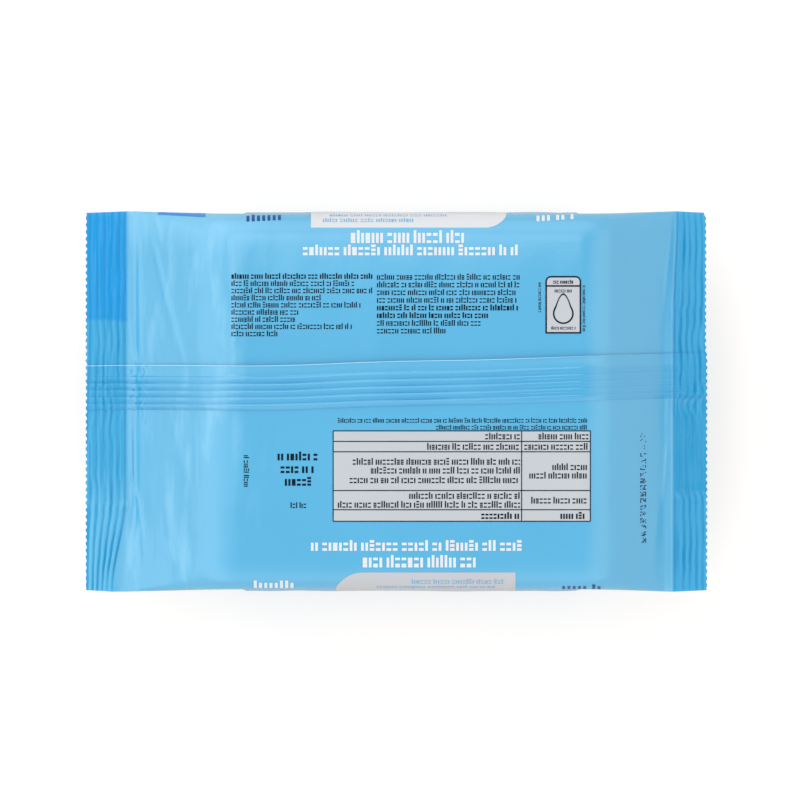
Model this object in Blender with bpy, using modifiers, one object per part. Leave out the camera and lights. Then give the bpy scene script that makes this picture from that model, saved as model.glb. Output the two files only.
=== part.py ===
"""Sealed soft pack of wet wipes, lying on its front with the folded back seam on top.

The film wraps a stack of folded wipes and stays one closed solid. Each end of the wrap is
flattened at half height, with its side walls tucked in as gussets, then crimped and cut
by a zig-zag knife. The long back seam is a ribbed fin, folded flat. A peel-and-reseal flap
is glued to the front, which is the side that the pack lies on.

The origin is on the surface that the pack lies on, under the pack's middle.
+X runs along the pack, +Y across it and +Z up. All sizes are in metres.
"""

import math

import bmesh
import bpy

# Whole pack
PACK_LENGTH = 0.1626
PACK_WIDTH = 0.0980
PACK_HEIGHT = 0.0520

# Film over the stack: its back falls by the crown from the middle to the long edges
CROWN = 0.0018
CROWN_POWER = 4
CORNER_RADIUS = 0.0058
CORNER_SHARE = 0.35
SIDE_BULGE = 0.0004

# Left end, from the stack to the cut edge
LEFT_SLOPE = 0.0315
LEFT_SEAL = 0.0106
LEFT_RIDGE_PITCH = 0.00186
LEFT_GUSSET_SHIFT = -0.0026

# Right end
RIGHT_SLOPE = 0.0254
RIGHT_SEAL = 0.0090
RIGHT_RIDGE_PITCH = 0.00172
RIGHT_GUSSET_SHIFT = 0.0003

# Crimped film of both ends
SEAL_THICKNESS = 0.0008
SEAL_RIDGE_HEIGHT = 0.00030
SEAL_FLARE = 0.0007
SEAL_TAPER = 0.0004
LAYER_STEP = 0.00016
LAYER_STEP_WIDTH = 0.0008
LAYER_STEP_FADE = 0.15
SEAL_EDGE_GROOVE = 0.00015
STRAIGHT_SHARE = 0.60

# Ridges drift towards the cut edge near one end of each seal
LEFT_DRIFT = 0.0034
LEFT_DRIFT_START = -0.0260
RIGHT_DRIFT = 0.0011
RIGHT_DRIFT_START = 0.0180
DRIFT_REACH = 0.0120

# Soft pleats that run up the end slopes
GATHER_HEIGHT = 0.00040
GATHER_PITCH = 0.0150
GATHER_PHASE = 1.0
EDGE_POWER = 6

# Soft creases across the slopes, close beside the seals' folds
THROAT_HEIGHT = 0.00035
THROAT_PITCH = 0.0026
THROAT_CREASES = 2

# Zig-zag knife cut
TOOTH_PITCH = 0.00177
TOOTH_DEPTH = 0.00048
MISFEED = 0.0003
MISFEED_AT = 0.0128

# Back seam, folded flat towards +Y
FIN_WIDTH = 0.0117
FIN_THICKNESS = 0.00050
FIN_SEAL_THICKNESS = 0.00028
FIN_ROOT_LEFT = -0.0023
FIN_ROOT_RIGHT = 0.0011
FIN_RIDGES = 5
FIN_RIDGE_PITCH = 0.00180
FIN_RIDGE_MARGIN = 0.0005
FIN_RIDGE_HEIGHT = 0.00024
FIN_SEAL_RIDGES = 0.5
FIN_LIFT = 0.00055
FIN_LIFT_FADE = 0.3
FIN_SEAL_FADE = 0.1
FIN_LOOSE_WIDTH = 0.0024
FIN_ROOT_DEPTH = 0.00030

# Reseal flap on the front
FLAP_LENGTH = 0.0660
FLAP_WIDTH = 0.0540
FLAP_THICKNESS = 0.00035
FLAP_CORNER = 0.0110
FLAP_TAB_RADIUS = 0.0080
GLUE_GAP = 0.0003

# Looks
FILM_COLOUR = (0.12, 0.47, 0.79)
FILM_ROUGHNESS = 0.32
FLAP_COLOUR = (0.86, 0.90, 0.93)
FLAP_ROUGHNESS = 0.28

# Fineness of the lofts
SLOPE_STEPS = 13
MIDDLE_STEPS = 10
CORNER_STEPS = 4
SIDE_STEPS = 3
TOP_SIDE_STEPS = 7
TOP_MIDDLE_STEPS = 22
BASE_SIDE_STEPS = 2
BASE_MIDDLE_STEPS = 4
FLAP_CORNER_STEPS = 8
TAB_STEPS = 48

# Facets that meet at more than this angle stay crisp
SHARP_ANGLE = math.radians(24)

# Film that the knife trims away at each end
TRIM = 0.0006
CUTTER_REACH = 0.0040

# Largest radius of a plate's corners as a share of its sides
CORNER_LIMIT = 0.45

# Heights and places that follow
FRONT_Z = FLAP_THICKNESS + GLUE_GAP
BACK_Z = PACK_HEIGHT - FIN_THICKNESS - max(FIN_LIFT, FIN_RIDGE_HEIGHT)
MIDDLE_Z = (FRONT_Z + BACK_Z) / 2
HALF_BODY = (BACK_Z - FRONT_Z) / 2
LEFT_FOLD_X = -PACK_LENGTH / 2 + LEFT_SEAL
RIGHT_FOLD_X = PACK_LENGTH / 2 - RIGHT_SEAL
LEFT_STACK_X = LEFT_FOLD_X + LEFT_SLOPE
RIGHT_STACK_X = RIGHT_FOLD_X - RIGHT_SLOPE
THROAT_REACH = THROAT_PITCH * THROAT_CREASES


def smooth_step(low, high, value):
    """Ease from 0 at low to 1 at high."""
    share = min(max((value - low) / (high - low), 0.0), 1.0)
    return share * share * (3 - 2 * share)


def along(left, right, x):
    """Blend a left-hand and a right-hand value along the pack."""
    share = x / PACK_LENGTH + 0.5
    return left + (right - left) * share


def slope_share(x):
    """Way up the end slope: 0 at the seal's fold, 1 over the stack."""
    left = (x - LEFT_FOLD_X) / LEFT_SLOPE
    right = (RIGHT_FOLD_X - x) / RIGHT_SLOPE
    return min(max(min(left, right), 0.0), 1.0)


def opening(x):
    """Half height of the pack as a share: a straight slope, then rounded over the stack."""
    share = slope_share(x)
    gradient = 2 / (1 + STRAIGHT_SHARE)
    if share < STRAIGHT_SHARE:
        return gradient * share
    return 1 - gradient * (1 - share) ** 2 / (2 * (1 - STRAIGHT_SHARE))


def seal_distance(x):
    """Distance from the seal's fold towards its cut edge, and the pitch of its ridges."""
    if x < LEFT_FOLD_X:
        return LEFT_FOLD_X - x, LEFT_RIDGE_PITCH
    if x > RIGHT_FOLD_X:
        return x - RIGHT_FOLD_X, RIGHT_RIDGE_PITCH
    return 0.0, LEFT_RIDGE_PITCH


def crimp(x):
    """Height of the crimped ridges, a triangle wave that runs along the pack."""
    distance, pitch = seal_distance(x)
    phase = distance / pitch
    ridges = ridge_count(LEFT_SEAL if x < 0 else RIGHT_SEAL, pitch)
    if phase > ridges:
        return 0.0
    return SEAL_RIDGE_HEIGHT * (1 - abs(2 * (phase % 1.0) - 1))


def ridge_count(seal, pitch):
    """Number of whole ridges in a seal."""
    return max(int(seal / pitch), 1)


def half_width(x):
    """Half width of the film, a little wider at the seals' folds than over the stack."""
    seal = LEFT_SEAL if x < 0 else RIGHT_SEAL
    taper = SEAL_TAPER * seal_distance(x)[0] / seal
    return PACK_WIDTH / 2 + SEAL_FLARE * (1 - opening(x)) - taper


def gusset_line(x, side):
    """Where the tucked side wall ends, on side +1 or -1 of a flattened end."""
    shift = along(LEFT_GUSSET_SHIFT, RIGHT_GUSSET_SHIFT, x)
    return shift + side * (half_width(x) - HALF_BODY)


def gusset_depth(x, side):
    """Depth to which the side wall is tucked in, so that its length stays the same."""
    if slope_share(x) == 0.0:
        return SEAL_EDGE_GROOVE
    full = half_width(x) - side * gusset_line(x, side)
    return full * math.sqrt(max(1 - opening(x) ** 2, 0.0))


def layer_step(x, y):
    """Extra thickness of a flattened end where the tucked side wall lies inside."""
    half_step = LAYER_STEP_WIDTH / 2
    inner_left = gusset_line(x, -1)
    inner_right = gusset_line(x, 1)
    left = 1 - smooth_step(inner_left - half_step, inner_left + half_step, y)
    right = smooth_step(inner_right - half_step, inner_right + half_step, y)
    fade = 1 - smooth_step(0.0, LAYER_STEP_FADE, slope_share(x))
    return LAYER_STEP * (left + right) * fade


def edge_fade(x, y):
    """Share that stays near 1 over the middle and falls to 0 at the long edges."""
    return 1 - min(abs(y) / half_width(x), 1.0) ** EDGE_POWER


def gather(x, y):
    """Soft pleats that run up the end slopes and fade over the stack and at the sides."""
    phase = 2 * math.pi * y / GATHER_PITCH + math.copysign(GATHER_PHASE, x)
    fade = math.sin(math.pi * slope_share(x)) ** 2
    return GATHER_HEIGHT * fade * edge_fade(x, y) * math.cos(phase)


def throat(x, y):
    """Soft creases beside a seal's fold, each one lower than the one before it."""
    distance = min(x - LEFT_FOLD_X, RIGHT_FOLD_X - x)
    if not 0.0 < distance < THROAT_REACH:
        return 0.0
    wave = (1 - math.cos(2 * math.pi * distance / THROAT_PITCH)) / 2
    return THROAT_HEIGHT * wave * (1 - distance / THROAT_REACH) * edge_fade(x, y)


def half_height(x):
    """Half height of the pack at one place along it."""
    return SEAL_THICKNESS / 2 + (HALF_BODY - SEAL_THICKNESS / 2) * opening(x)


def back_z(x, y):
    """Height of the film's upper side, where the back seam lies."""
    crown = CROWN * opening(x) * abs(2 * y / PACK_WIDTH) ** CROWN_POWER
    folds = gather(x, y) + throat(x, y)
    return MIDDLE_Z + half_height(x) - crown + crimp(x) + layer_step(x, y) + folds


def front_z(x, y):
    """Height of the film's under side, flat where the pack lies on it."""
    return MIDDLE_Z - half_height(x) + crimp(x) - layer_step(x, y)


def corner_radius(x):
    """Radius of the long edges, smaller where the ends are flattened."""
    return min(CORNER_RADIUS, CORNER_SHARE * half_height(x))


def drifted(point):
    """Move a point along the pack as the seals' ridges drift towards the cut edge."""
    x, y, z = point
    edge = PACK_WIDTH / 2
    if x < 0:
        drift = -LEFT_DRIFT * smooth_step(-LEFT_DRIFT_START, edge, -y)
        outwards = (LEFT_FOLD_X - x) / LEFT_SEAL
        inwards = (x - LEFT_FOLD_X) / DRIFT_REACH
    else:
        drift = RIGHT_DRIFT * smooth_step(RIGHT_DRIFT_START, edge, y)
        outwards = (x - RIGHT_FOLD_X) / RIGHT_SEAL
        inwards = (RIGHT_FOLD_X - x) / DRIFT_REACH
    return (x + drift * max(1 - max(outwards, inwards), 0.0), y, z)


def spread(start, end, steps):
    """Evenly spaced values from start to end, without the last one."""
    return [start + (end - start) * index / steps for index in range(steps)]


def columns(x, side_steps, middle_steps):
    """Places across the pack, from -Y to +Y, with a close pair at each gusset line."""
    corner = half_width(x) - corner_radius(x)
    half_step = LAYER_STEP_WIDTH / 2
    low = gusset_line(x, -1)
    high = gusset_line(x, 1)
    places = spread(-corner, low - half_step, side_steps)
    places.append(low - half_step)
    places += spread(low + half_step, high - half_step, middle_steps)
    places.append(high - half_step)
    places += spread(high + half_step, corner, side_steps)
    return places[1:]


def corner_arc(x, side, surface_z, up):
    """Quarter arc of a long edge, bent down from the back or up from the front."""
    radius = corner_radius(x)
    points = []
    for index in range(CORNER_STEPS + 1):
        angle = math.pi / 2 * index / CORNER_STEPS
        y = side * (half_width(x) - radius * (1 - math.sin(angle)))
        z = surface_z(x, y) - up * radius * (1 - math.cos(angle))
        points.append((x, y, z))
    return points


def side_wall(x, side, upper_z, lower_z):
    """Side wall between its two corners, tucked in towards its middle."""
    middle_z = (upper_z + lower_z) / 2
    bulge = SIDE_BULGE if slope_share(x) == 1.0 else 0.0
    points = []
    for index in range(1, 2 * SIDE_STEPS):
        share = index / SIDE_STEPS
        nearness = 1 - abs(share - 1)
        inward = gusset_depth(x, side) * nearness - bulge * math.sin(nearness * math.pi / 2)
        edge_z = upper_z if share < 1 else lower_z
        z = edge_z + (middle_z - edge_z) * nearness
        points.append((x, side * (half_width(x) - inward), z))
    return points


def pack_section(x):
    """Closed outline of the filled film at one place along the pack."""
    ring = [(x, y, back_z(x, y)) for y in columns(x, TOP_SIDE_STEPS, TOP_MIDDLE_STEPS)]
    for side in (1, -1):
        upper = corner_arc(x, side, back_z, 1)
        lower = corner_arc(x, side, front_z, -1)
        wall = side_wall(x, side, upper[-1][2], lower[-1][2])
        run = upper + wall + lower[::-1]
        if side == 1:
            ring += run
            base = columns(x, BASE_SIDE_STEPS, BASE_MIDDLE_STEPS)
            ring += [(x, y, front_z(x, y)) for y in reversed(base)]
        else:
            ring += run[::-1]
    return [drifted(point) for point in ring]


def seal_places(fold_x, direction, seal, pitch):
    """Places along a seal, from its fold outwards: every ridge and groove, then the cut end."""
    steps = 2 * ridge_count(seal, pitch)
    places = [fold_x + direction * pitch * index / 2 for index in range(1, steps + 1)]
    places.append(fold_x + direction * (seal + TRIM))
    return places


def places_along():
    """All places of the lofts' sections along the pack."""
    left = seal_places(LEFT_FOLD_X, -1, LEFT_SEAL, LEFT_RIDGE_PITCH)[::-1]
    right = seal_places(RIGHT_FOLD_X, 1, RIGHT_SEAL, RIGHT_RIDGE_PITCH)
    left_throat = spread(LEFT_FOLD_X, LEFT_FOLD_X + THROAT_REACH, 2 * THROAT_CREASES)
    left_slope = spread(LEFT_FOLD_X + THROAT_REACH, LEFT_STACK_X, SLOPE_STEPS)
    middle = spread(LEFT_STACK_X, RIGHT_STACK_X, MIDDLE_STEPS)
    right_slope = spread(RIGHT_STACK_X, RIGHT_FOLD_X - THROAT_REACH, SLOPE_STEPS)
    right_throat = spread(RIGHT_FOLD_X - THROAT_REACH, RIGHT_FOLD_X, 2 * THROAT_CREASES)
    slopes = left_throat + left_slope + middle + right_slope + right_throat
    return left + slopes + [RIGHT_FOLD_X] + right


def fin_lift(x, distance):
    """Lift of the seam's loose edge over the body, none where the ends are sealed."""
    start = FIN_WIDTH - FIN_LOOSE_WIDTH
    loose = smooth_step(start, FIN_WIDTH, distance)
    return FIN_LIFT * loose * smooth_step(0.0, FIN_LIFT_FADE, slope_share(x))


def fin_ridge(distance):
    """Height of the ribs that run along the folded seam."""
    phase = (distance - FIN_RIDGE_MARGIN) / FIN_RIDGE_PITCH
    if phase < 0 or phase > FIN_RIDGES:
        return 0.0
    return FIN_RIDGE_HEIGHT * (1 - abs(2 * (phase % 1.0) - 1))


def fin_section(x):
    """Closed outline of the folded seam, its under side sunk into the film but for the edge."""
    root = along(FIN_ROOT_LEFT, FIN_ROOT_RIGHT, x)
    closeness = smooth_step(0.0, FIN_SEAL_FADE, slope_share(x))
    thickness = FIN_SEAL_THICKNESS + (FIN_THICKNESS - FIN_SEAL_THICKNESS) * closeness
    loose = FIN_WIDTH - FIN_LOOSE_WIDTH
    upper = [0.0]
    upper += [FIN_RIDGE_MARGIN + FIN_RIDGE_PITCH * index / 2 for index in range(2 * FIN_RIDGES + 1)]
    upper += [(loose + FIN_WIDTH) / 2, FIN_WIDTH]
    lower = [FIN_WIDTH, (loose + FIN_WIDTH) / 2, loose, loose / 2, 0.0]
    ring = []
    for distance in upper:
        top = back_z(x, root + distance) + thickness
        ridge = fin_ridge(distance) * (FIN_SEAL_RIDGES + (1 - FIN_SEAL_RIDGES) * closeness)
        raise_by = max(ridge, fin_lift(x, distance))
        ring.append((x, root + distance, top + raise_by))
    for distance in lower:
        gap = (FIN_ROOT_DEPTH + thickness / 2) * smooth_step(loose, FIN_WIDTH, distance) * closeness
        under = back_z(x, root + distance) - FIN_ROOT_DEPTH + gap
        ring.append((x, root + distance, under))
    return ring


def add_object(name, shape, collection):
    """Turn a finished bmesh into an object."""
    mesh = bpy.data.meshes.new(name)
    shape.to_mesh(mesh)
    shape.free()
    thing = bpy.data.objects.new(name, mesh)
    collection.objects.link(thing)
    return thing


def loft(name, rings, collection):
    """Closed solid through a row of outlines that all have the same number of points."""
    shape = bmesh.new()
    rows = [[shape.verts.new(point) for point in ring] for ring in rings]
    for first, second in zip(rows, rows[1:]):
        for index in range(len(first)):
            after = (index + 1) % len(first)
            shape.faces.new((first[index], first[after], second[after], second[index]))
    shape.faces.new(rows[0][::-1])
    shape.faces.new(rows[-1])
    bmesh.ops.recalc_face_normals(shape, faces=shape.faces)
    solid = add_object(name, shape, collection)
    solid.data.shade_smooth()
    solid.data.set_sharp_from_angle(angle=SHARP_ANGLE)
    return solid


def knife(name, direction, collection):
    """Zig-zag strip that cuts one end of the pack, direction +1 or -1 along X."""
    teeth = math.ceil((PACK_WIDTH + 2 * CUTTER_REACH) / TOOTH_PITCH)
    shape = bmesh.new()
    bmesh.ops.create_grid(shape, x_segments=1, y_segments=2 * teeth, size=teeth)
    for vert in shape.verts:
        row = round(vert.co.y)
        vert.co.y = row * TOOTH_PITCH / 2
        inner_x = PACK_LENGTH / 2 - TOOTH_DEPTH * (row % 2)
        if direction > 0:
            inner_x -= MISFEED * smooth_step(-TOOTH_PITCH, TOOTH_PITCH, vert.co.y - MISFEED_AT)
        outer_x = PACK_LENGTH / 2 + CUTTER_REACH
        vert.co.x = direction * (inner_x if vert.co.x < 0 else outer_x)
        vert.co.z = MIDDLE_Z
    cutter = add_object(name, shape, collection)
    solidify = cutter.modifiers.new("height", "SOLIDIFY")
    solidify.thickness = CUTTER_REACH
    solidify.offset = 0.0
    return as_guide(cutter)


def as_guide(guide):
    """Mark an object that only cuts or joins."""
    guide.hide_render = True
    guide.display_type = "WIRE"
    return guide


def add_boolean(target, tool, operation):
    """Join or cut the target by the tool."""
    boolean = target.modifiers.new(tool.name, "BOOLEAN")
    boolean.operation = operation
    boolean.object = tool
    return boolean


def new_material(name, colour, roughness):
    """Principled material of one colour."""
    material = bpy.data.materials.new(name)
    material.use_nodes = True
    shader = material.node_tree.nodes["Principled BSDF"]
    shader.inputs["Base Color"].default_value = (*colour, 1.0)
    shader.inputs["Roughness"].default_value = roughness
    shader.inputs["Metallic"].default_value = 0.0
    material.diffuse_color = (*colour, 1.0)
    return material


def build_pouch(parts, guides):
    """Filled film with its gusseted ends, crimped seals and folded back seam."""
    places = places_along()
    pouch = loft("pouch", [pack_section(x) for x in places], parts)
    seam = as_guide(loft("back_seam", [fin_section(x) for x in places], guides))
    add_boolean(pouch, seam, "UNION")
    add_boolean(pouch, knife("left_knife", -1, guides), "DIFFERENCE")
    add_boolean(pouch, knife("right_knife", 1, guides), "DIFFERENCE")
    pouch.data.materials.append(new_material("blue_film", FILM_COLOUR, FILM_ROUGHNESS))
    return pouch


def rounded_plate(length, width, thickness, corner):
    """Flat plate around the origin with round upright corners."""
    plate = bmesh.new()
    bmesh.ops.create_cube(plate, size=1.0)
    bmesh.ops.scale(plate, vec=(length, width, thickness), verts=plate.verts)
    upright = [edge for edge in plate.edges if edge.verts[0].co.xy == edge.verts[1].co.xy]
    radius = min(corner, CORNER_LIMIT * length, CORNER_LIMIT * width)
    bmesh.ops.bevel(
        plate, geom=upright, offset=radius, segments=FLAP_CORNER_STEPS, profile=0.5, affect="EDGES"
    )
    return plate


def round_plate(radius, thickness):
    """Flat disc around the origin."""
    disc = bmesh.new()
    bmesh.ops.create_cone(
        disc, cap_ends=True, segments=TAB_STEPS, radius1=radius, radius2=radius, depth=thickness
    )
    return disc


def build_reseal_flap(parts, guides):
    """Glued flap with its finger tab, centred under the stack."""
    centre_x = (LEFT_STACK_X + RIGHT_STACK_X) / 2
    plate = rounded_plate(FLAP_LENGTH, FLAP_WIDTH, FLAP_THICKNESS, FLAP_CORNER)
    flap = add_object("reseal_flap", plate, parts)
    disc = round_plate(FLAP_TAB_RADIUS, FLAP_THICKNESS)
    tab = as_guide(add_object("finger_tab", disc, guides))
    flap.location = (centre_x, 0.0, FLAP_THICKNESS / 2)
    tab.location = (centre_x + FLAP_LENGTH / 2, 0.0, FLAP_THICKNESS / 2)
    add_boolean(flap, tab, "UNION")
    flap.data.materials.append(new_material("flap_film", FLAP_COLOUR, FLAP_ROUGHNESS))
    return flap


def main():
    """Build the pack from an empty scene."""
    for thing in list(bpy.data.objects):
        bpy.data.objects.remove(thing, do_unlink=True)
    parts = bpy.data.collections.new("wet_wipes_pack")
    guides = bpy.data.collections.new("guides")
    for collection in (parts, guides):
        bpy.context.scene.collection.children.link(collection)
    build_pouch(parts, guides)
    build_reseal_flap(parts, guides)


main()
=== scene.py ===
"""Soft pack of wet wipes, lying on its front and seen from straight above.

Makes the film with its crimped ends, creases and folded back seam, the reseal flap's
finish, the print in plain marks, and a pale studio. Sizes are in metres, +X along the
pack, +Y across it and +Z up.
"""

import math
import random

import bmesh
import bpy
from mathutils import Matrix, Vector, noise
from mathutils.bvhtree import BVHTree


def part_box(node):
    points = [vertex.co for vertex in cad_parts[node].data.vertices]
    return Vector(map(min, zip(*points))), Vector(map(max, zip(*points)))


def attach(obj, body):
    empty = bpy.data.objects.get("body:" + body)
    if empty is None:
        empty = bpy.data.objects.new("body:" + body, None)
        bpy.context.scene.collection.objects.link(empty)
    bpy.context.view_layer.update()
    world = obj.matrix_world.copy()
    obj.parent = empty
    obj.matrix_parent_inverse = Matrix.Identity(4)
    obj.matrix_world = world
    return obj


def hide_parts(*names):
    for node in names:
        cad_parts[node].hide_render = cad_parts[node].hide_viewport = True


bl_info = {
    "name": "Wet wipes pack",
    "version": (1, 0, 0),
    "blender": (4, 5, 0),
    "location": "View3D > Sidebar > Wipes pack",
    "description": "Builds a soft film pack of wet wipes around its packed frame",
    "category": "Add Mesh",
}

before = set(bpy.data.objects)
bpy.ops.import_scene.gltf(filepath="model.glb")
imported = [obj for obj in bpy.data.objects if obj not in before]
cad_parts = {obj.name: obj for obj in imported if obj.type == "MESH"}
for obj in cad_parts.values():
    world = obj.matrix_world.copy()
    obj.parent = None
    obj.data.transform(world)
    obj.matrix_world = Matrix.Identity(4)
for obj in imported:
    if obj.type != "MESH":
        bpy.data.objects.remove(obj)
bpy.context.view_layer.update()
POUCH_LOW, POUCH_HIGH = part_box("pouch")

MM = 0.001
PACK_LENGTH = POUCH_HIGH.x - POUCH_LOW.x
PACK_WIDTH = POUCH_HIGH.y - POUCH_LOW.y

# Points closer than this are one point
MERGE = 1e-7
# Faces that meet at a sharper angle than this show an edge
SHARP_ANGLE = math.radians(40)
# Distance from a crease's line, in its own widths, past which it adds nothing
CREASE_REACH = 3.0
# Part of a long edge's arc that the outermost columns of the back and front cover
ARC_SPLIT = 0.92
# Longest side of a cell of a printed field
INK_STEP = 0.6 * MM
# Side of the picture in pixels, and the pixel that shows the frame's origin
PICTURE = 800
ORIGIN_PIXEL = (396.5, 401.5)


def smooth_step(low, high, value):
    """Ease from 0 at low to 1 at high."""
    share = min(max((value - low) / (high - low), 0.0), 1.0)
    return share * share * (3 - 2 * share)


def blend(first, second, share):
    """Mix two values."""
    return first + (second - first) * share


def ripple(x, y, size, seed):
    """Smooth noise between -1 and 1 with features of about the given size."""
    return noise.noise(Vector((x / size, y / size, seed)))


# Settings


def length(name, description, default):
    """Length property in metres."""
    return bpy.props.FloatProperty(
        name=name, description=description, default=default, min=0.0, precision=5, unit="LENGTH"
    )


def colour(name, description, default):
    """Colour property."""
    return bpy.props.FloatVectorProperty(
        name=name, description=description, default=default, min=0.0, max=1.0, size=3, subtype="COLOR"
    )


def factor(name, description, default):
    """Share between 0 and 1."""
    return bpy.props.FloatProperty(
        name=name, description=description, default=default, min=0.0, max=1.0, subtype="FACTOR"
    )


class FilmSettings(bpy.types.PropertyGroup):
    """Sizes and colours of the wrapped film."""

    left_seal: length("Left seal", "Length of the left crimped seal", 0.0106)
    right_seal: length("Right seal", "Length of the right crimped seal", 0.0090)
    left_slope: length("Left slope", "Run of the left end slope", 0.0315)
    right_slope: length("Right slope", "Run of the right end slope", 0.0254)
    left_pitch: length("Left ridge pitch", "Pitch of the left seal's ridges", 0.00186)
    right_pitch: length("Right ridge pitch", "Pitch of the right seal's ridges", 0.00172)
    ridge: length("Ridge height", "Height of the crimped ridges", 0.00036)
    seal_thickness: length("Seal thickness", "Thickness of the pressed ends", 0.0008)
    layer_step: length("Layer step", "Step where the tucked side wall ends", 0.00016)
    flare: length("Seal flare", "Extra half width at the seals' folds", 0.0007)
    taper: length("Seal taper", "Narrowing of a seal towards its cut edge", 0.0004)
    corner: length("Corner radius", "Radius of the long edges", 0.0070)
    crown: length("Crown", "Fall of the back from its middle to its long edges", 0.0018)
    left_drift: length("Left drift", "Drift of the left ridges towards the cut edge", 0.0034)
    right_drift: length("Right drift", "Drift of the right ridges towards the cut edge", 0.0011)
    throat: length("Throat crease", "Height of the creases beside the left seal's fold", 0.00035)
    bulge: length("Side bulge", "Swell of the side walls", 0.0004)
    tooth_pitch: length("Tooth pitch", "Pitch of the zig-zag cut", 0.00177)
    tooth_depth: length("Tooth depth", "Depth of the zig-zag cut", 0.00048)
    misfeed: length("Misfeed", "Step in the right cut edge at the seam's loose edge", 0.0003)
    body: colour("Body film", "Colour of the printed film over the wipes", (0.072, 0.417, 0.688))
    seal: colour("Seal film", "Colour of the ridges of the seals", (0.048, 0.388, 0.680))
    # Painted sheen: pale colour that stands in for soft reflections of the lights on the left slope and along
    # the far long edge
    painted_sheen: colour("Hazy film", "Colour of the pale patches on the left slope", (0.180, 0.540, 0.790))
    # Painted highlight: the left seal's near end is drawn lighter where its ridges catch more light
    low_seal_highlight: colour("Low seal film", "Colour of the left seal's near end, drawn up most", (0.115, 0.480, 0.750))
    # Painted shade: the grooves of the seals and of the seam's ribs are drawn darker, where shade falls in them
    groove_shade: colour("Groove film", "Colour of the pressed grooves of the seals", (0.012, 0.315, 0.605))
    deep: colour("Deep film", "Colour of the left seal's upper part", (0.004, 0.312, 0.705))
    roughness: factor("Roughness", "Roughness of the film", 0.22)


class SeamSettings(bpy.types.PropertyGroup):
    """Sizes of the folded back seam."""

    width: length("Width", "Width of the folded seam", 0.0117)
    thickness: length("Thickness", "Thickness of the folded seam over the stack", 0.00050)
    seal_thickness: length("Seal thickness", "Thickness of the seam in the end seals", 0.00028)
    lift: length("Lift", "Lift of the loose edge", 0.00055)
    root_left: bpy.props.FloatProperty(
        name="Root left", description="Place of the fold at the left end", default=-0.0023, unit="LENGTH"
    )
    root_right: bpy.props.FloatProperty(
        name="Root right", description="Place of the fold at the right end", default=0.0011, unit="LENGTH"
    )
    ridge: length("Rib height", "Height of the long ribs", 0.00032)
    pitch: length("Rib pitch", "Pitch of the long ribs", 0.00180)
    ribs: bpy.props.IntProperty(name="Ribs", description="Number of long ribs", default=5, min=1)


class PrintSettings(bpy.types.PropertyGroup):
    """Inks and sizes of the print."""

    black: colour("Black ink", "Ink of the small marks", (0.002, 0.010, 0.025))
    white: colour("White ink", "Ink of the white panels", (0.66, 0.68, 0.71))
    # Painted shade: the near panel's white ink is drawn darker, as that panel faces away from the light
    shaded_white: colour("Near white ink", "Ink of the near white panel", (0.52, 0.54, 0.57))
    letters: colour("White marks", "Ink of the large white marks", (0.72, 0.75, 0.77))
    navy: colour("Dark blue ink", "Ink of the edge words' places", (0.012, 0.075, 0.260))
    pale: colour("Pale blue ink", "Ink of the lines on the white panels", (0.18, 0.45, 0.70))
    panel: colour("Table ground", "Ground of the table and the small panel", (0.51, 0.54, 0.57))
    strip: colour("Edge strip", "Deeper blue field at the long edge", (0.030, 0.240, 0.640))
    lift: length("Ink height", "Height of the ink over the film", 0.00004)
    seed: bpy.props.IntProperty(name="Seed", description="Seed of the mark pattern", default=7)


class StageSettings(bpy.types.PropertyGroup):
    """Camera distance and the pale studio."""

    distance: length("Camera distance", "Distance from the camera to the pack's back", 8.5)
    field: length("Field", "Width that the picture takes in at the back", 0.2084)
    floor: colour("Floor", "Colour of the pale floor", (0.660, 0.600, 0.555))


# Shape of the film


class Crease:
    """Straight crease in the film: a raised or sunk line that fades at its ends."""

    def __init__(self, start, end, height, width):
        self.start = Vector(start) * MM
        self.run = Vector(end) * MM - self.start
        self.length = self.run.length
        self.along = self.run / self.length
        self.height = height * MM
        self.width = width * MM
        reach = CREASE_REACH * self.width
        self.low_x = min(start[0], end[0]) * MM - reach
        self.high_x = max(start[0], end[0]) * MM + reach

    def height_at(self, x, y):
        """Height that the crease adds at a place on the back."""
        if not self.low_x < x < self.high_x:
            return 0.0
        offset = Vector((x, y)) - self.start
        share = offset.dot(self.along) / self.length
        if not 0.0 < share < 1.0:
            return 0.0
        away = abs(offset.x * self.along.y - offset.y * self.along.x) / self.width
        if away > CREASE_REACH:
            return 0.0
        return self.height * math.exp(-away * away) * math.sin(math.pi * share) ** 0.6


# Long soft creases of the left end, in millimetres on the back: start, end, height, width
LEFT_CREASES = (
    ((-64.2, 43.0), (-55.2, 8.6), 0.46, 0.60),
    ((-62.3, 33.5), (-56.9, 11.0), 0.32, 0.50),
    ((-67.5, 44.0), (-67.3, 9.0), 0.22, 0.70),
    ((-69.4, 14.5), (-67.6, 9.6), 0.34, 0.50),
    ((-69.8, 24.0), (-68.4, 12.0), 0.20, 0.40),
    ((-63.5, 49.5), (-61.0, 40.0), 0.20, 0.70),
    ((-58.5, 49.0), (-60.5, 39.0), 0.16, 0.60),
    ((-59.8, -1.5), (-53.4, -25.0), 0.20, 1.00),
    ((-52.6, -8.0), (-52.4, -23.0), 0.16, 0.40),
    ((-69.3, -3.5), (-69.0, -28.0), 0.28, 0.40),
    ((-72.2, -27.0), (-69.8, -27.4), 0.30, 0.60),
    ((-69.6, -17.0), (-66.0, -33.5), 0.24, 0.50),
    ((-66.6, -30.0), (-63.8, -45.5), 0.20, 0.50),
    ((-61.8, -36.5), (-58.2, -42.0), 0.20, 1.50),
    ((-55.0, -34.0), (-56.5, -46.0), 0.10, 0.80),
    ((-66.0, -47.2), (-54.0, -46.4), 0.18, 0.60),
)

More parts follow.
